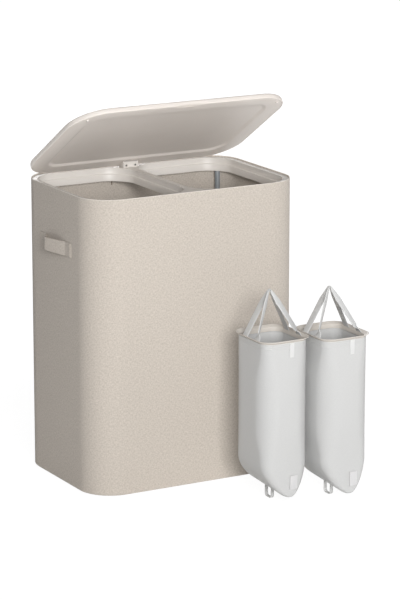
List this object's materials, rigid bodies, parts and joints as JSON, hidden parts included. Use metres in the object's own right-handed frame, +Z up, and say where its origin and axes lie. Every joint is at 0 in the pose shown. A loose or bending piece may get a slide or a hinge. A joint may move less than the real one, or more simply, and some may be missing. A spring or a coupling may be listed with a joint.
{
  "type": "laundry hamper",
  "caption": "Fabric-covered laundry hamper with two bins, a rear-hinged lid, side handles and lift-out liner bags with carrying straps.",
  "frame": {"origin": "middle of the hamper's flat underside, on the floor", "axes": "+X to the hamper's right, +Y to its back where the lid is hinged, +Z up"},
  "size_m": [0.5554, 0.6547, 0.8492],
  "materials": {
    "linen": "woven linen-look polyester",
    "frame_plastic": "moulded, satin",
    "lid_plastic": "moulded, satin",
    "tube_metal": "grey coated tube",
    "steel": "plain",
    "bumper_rubber": "soft, matt",
    "board": "fibreboard, matt",
    "liner_fabric": "coated woven polyester",
    "liner_rim_plastic": "moulded, satin",
    "webbing": "woven tape"
  },
  "bodies": {
    "hamper": {"outer_sleeve": "linen", "top_frame": "frame_plastic", "base_frame": "frame_plastic", "base_board": "board", "hinge_housing": "frame_plastic", "hinge_pin": "steel", "hinge_screw_left": "steel", "hinge_screw_right": "steel", "side_handle_left": "linen", "side_handle_right": "linen", "post_front_left": "tube_metal", "post_front_right": "tube_metal", "post_back_left": "tube_metal", "post_back_right": "tube_metal"},
    "lid": {"lid_outer_shell": "lid_plastic", "lid_inner_panel": "lid_plastic", "lid_bumper_left": "bumper_rubber", "lid_bumper_right": "bumper_rubber"},
    "liner_left": {"liner_left_body": "liner_fabric", "liner_left_rim": "liner_rim_plastic", "liner_left_pull_tab": "webbing", "liner_left_label": "webbing", "liner_left_bottom_loop": "webbing"},
    "liner_left_strap_left": {"liner_left_strap_left": "webbing"},
    "liner_left_strap_right": {"liner_left_strap_right": "webbing"},
    "liner_right": {"liner_right_body": "liner_fabric", "liner_right_rim": "liner_rim_plastic", "liner_right_pull_tab": "webbing", "liner_right_label": "webbing", "liner_right_bottom_loop": "webbing"},
    "liner_right_strap_left": {"liner_right_strap_left": "webbing"},
    "liner_right_strap_right": {"liner_right_strap_right": "webbing"}
  },
  "joints": [
    {"name": "lid_hinge", "type": "hinge", "parent": "hamper", "child": "lid", "pos_m": [0, 0.1595, 0.668], "axis": [-1, 0, 0], "range_deg": [-31.7, 63.3]},
    {"name": "liner_left_lift", "type": "slide", "parent": "hamper", "child": "liner_left", "axis": [0, 0, 1], "range_m": [0, 0.4]},
    {"name": "liner_left_strap_left_hinge", "type": "hinge", "parent": "liner_left", "child": "liner_left_strap_left", "pos_m": [0.0228, -0.363, 0.3696], "axis": [0, -1, 0], "range_deg": [0, 60]},
    {"name": "liner_left_strap_right_hinge", "type": "hinge", "parent": "liner_left", "child": "liner_left_strap_right", "pos_m": [0.1272, -0.363, 0.3696], "axis": [0, 1, 0], "range_deg": [0, 30]},
    {"name": "liner_right_lift", "type": "slide", "parent": "hamper", "child": "liner_right", "axis": [0, 0, 1], "range_m": [0, 0.4]},
    {"name": "liner_right_strap_left_hinge", "type": "hinge", "parent": "liner_right", "child": "liner_right_strap_left", "pos_m": [0.1498, -0.402, 0.3696], "axis": [0, -1, 0], "range_deg": [0, 30]},
    {"name": "liner_right_strap_right_hinge", "type": "hinge", "parent": "liner_right", "child": "liner_right_strap_right", "pos_m": [0.2542, -0.402, 0.3696], "axis": [0, 1, 0], "range_deg": [0, 60]}
  ]
}
